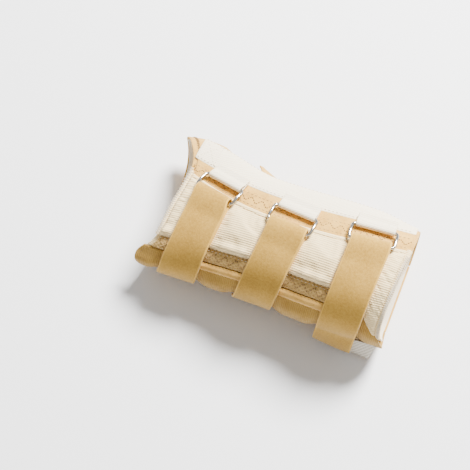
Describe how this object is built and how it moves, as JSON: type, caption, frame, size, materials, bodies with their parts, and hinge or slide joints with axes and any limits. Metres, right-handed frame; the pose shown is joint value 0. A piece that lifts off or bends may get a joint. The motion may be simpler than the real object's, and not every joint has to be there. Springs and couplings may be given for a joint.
{
  "type": "wrist splint",
  "caption": "Left-hand wrist splint: suede and ribbed elastic sleeve with palmar stay, closed over the back by hook-and-loop straps doubled through wire rings.",
  "frame": {"origin": "middle of the flat underside of the palmar stay pocket, where the splint rests on a table", "axes": "+X towards the forearm, +Y towards the thumb side, +Z out of the back of the hand"},
  "size_m": [0.1629, 0.0956, 0.0674],
  "materials": {
    "soft_lining": "brushed cotton lining",
    "tan_suede": "tan split suede",
    "brushed_suede": "brushed suede with a fine rib",
    "ribbed_elastic": "cream ribbed elastic",
    "stitched_braid": "stitched tan braid",
    "strap_velour": "tan loop-pile velour",
    "white_webbing": "off-white woven tape",
    "nickel_wire": "nickel-plated wire",
    "hook_tape": "moulded nylon hook tape",
    "stay_aluminium": "bare aluminium strip",
    "vinyl_cap": "dipped vinyl",
    "spring_steel": "spring steel strip"
  },
  "bodies": {
    "splint": {"lining": "soft_lining", "radial_panel": "tan_suede", "palmar_panel": "tan_suede", "ulnar_panel": "brushed_suede", "tongue": "ribbed_elastic", "dorsal_panel": "ribbed_elastic", "dorsal_hem": "ribbed_elastic", "distal_hem": "ribbed_elastic", "proximal_hem": "ribbed_elastic", "radial_seam_band": "tan_suede", "ulnar_seam_band": "stitched_braid", "ulnar_stay_channel": "tan_suede", "ulnar_stay": "spring_steel", "thumb_binding": "tan_suede", "palmar_pocket": "tan_suede", "ring_tape": "white_webbing", "ring_tab_1": "white_webbing", "strap_1_anchor": "strap_velour", "ring_tab_2": "white_webbing", "strap_2_anchor": "strap_velour", "ring_tab_3": "white_webbing", "strap_3_anchor": "strap_velour"},
    "ring_1": {"ring_1": "nickel_wire", "strap_1_fold": "strap_velour"},
    "strap_1": {"strap_1_flap": "strap_velour"},
    "strap_end_1": {"strap_1_tip": "strap_velour", "hook_tab_1": "hook_tape"},
    "ring_2": {"ring_2": "nickel_wire", "strap_2_fold": "strap_velour"},
    "strap_2": {"strap_2_flap": "strap_velour"},
    "strap_end_2": {"strap_2_tip": "strap_velour", "hook_tab_2": "hook_tape"},
    "ring_3": {"ring_3": "nickel_wire", "strap_3_fold": "strap_velour"},
    "strap_3": {"strap_3_flap": "strap_velour"},
    "strap_end_3": {"strap_3_tip": "strap_velour", "hook_tab_3": "hook_tape"},
    "stay": {"palmar_stay": "stay_aluminium", "palmar_stay_caps": "vinyl_cap"}
  },
  "joints": [
    {"name": "ring_1_swivel", "type": "hinge", "parent": "splint", "child": "ring_1", "pos_m": [-0.04008, 0.01766, 0.05034], "axis": [-0.9354, 0.2578, -0.2421], "range_deg": [0, 33]},
    {"name": "strap_1_peel", "type": "hinge", "parent": "ring_1", "child": "strap_1", "pos_m": [-0.04453, 0.00521, 0.05432], "axis": [-0.9354, 0.2578, -0.2421], "range_deg": [0, 110]},
    {"name": "strap_1_straighten", "type": "hinge", "parent": "strap_1", "child": "strap_end_1", "pos_m": [-0.04875, -0.0384, 0.03485], "axis": [-0.9923, -0.006, -0.1241], "range_deg": [0, 45.1]},
    {"name": "ring_2_swivel", "type": "hinge", "parent": "splint", "child": "ring_2", "pos_m": [0.00874, 0.0111, 0.05902], "axis": [-0.9885, 0.1134, -0.0998], "range_deg": [0, 33]},
    {"name": "strap_2_peel", "type": "hinge", "parent": "ring_2", "child": "strap_2", "pos_m": [0.00681, -0.00183, 0.06345], "axis": [-0.9885, 0.1134, -0.0998], "range_deg": [0, 110]},
    {"name": "strap_2_straighten", "type": "hinge", "parent": "strap_2", "child": "strap_end_2", "pos_m": [0.00171, -0.03855, 0.0401], "axis": [-0.9973, 0.0203, -0.071], "range_deg": [0, 45.1]},
    {"name": "ring_3_swivel", "type": "hinge", "parent": "splint", "child": "ring_3", "pos_m": [0.05649, 0.01733, 0.06085], "axis": [-0.9972, -0.0701, -0.0265], "range_deg": [0, 33]},
    {"name": "strap_3_peel", "type": "hinge", "parent": "ring_3", "child": "strap_3", "pos_m": [0.05719, 0.00507, 0.06714], "axis": [-0.9972, -0.0701, -0.0265], "range_deg": [0, 110]},
    {"name": "strap_3_straighten", "type": "hinge", "parent": "strap_3", "child": "strap_end_3", "pos_m": [0.05481, -0.03969, 0.04304], "axis": [-0.999, -0.0314, -0.0318], "range_deg": [0, 45.1]},
    {"name": "palmar_stay_slide", "type": "slide", "parent": "splint", "child": "stay", "axis": [1, 0, 0], "range_m": [0, 0.14]}
  ],
  "couplings": [
    {"joint": "ring_1_swivel", "follows": "strap_1_peel", "ratio": 0.3},
    {"joint": "strap_1_straighten", "follows": "strap_1_peel", "ratio": 0.41},
    {"joint": "ring_2_swivel", "follows": "strap_2_peel", "ratio": 0.3},
    {"joint": "strap_2_straighten", "follows": "strap_2_peel", "ratio": 0.41},
    {"joint": "ring_3_swivel", "follows": "strap_3_peel", "ratio": 0.3},
    {"joint": "strap_3_straighten", "follows": "strap_3_peel", "ratio": 0.41}
  ]
}
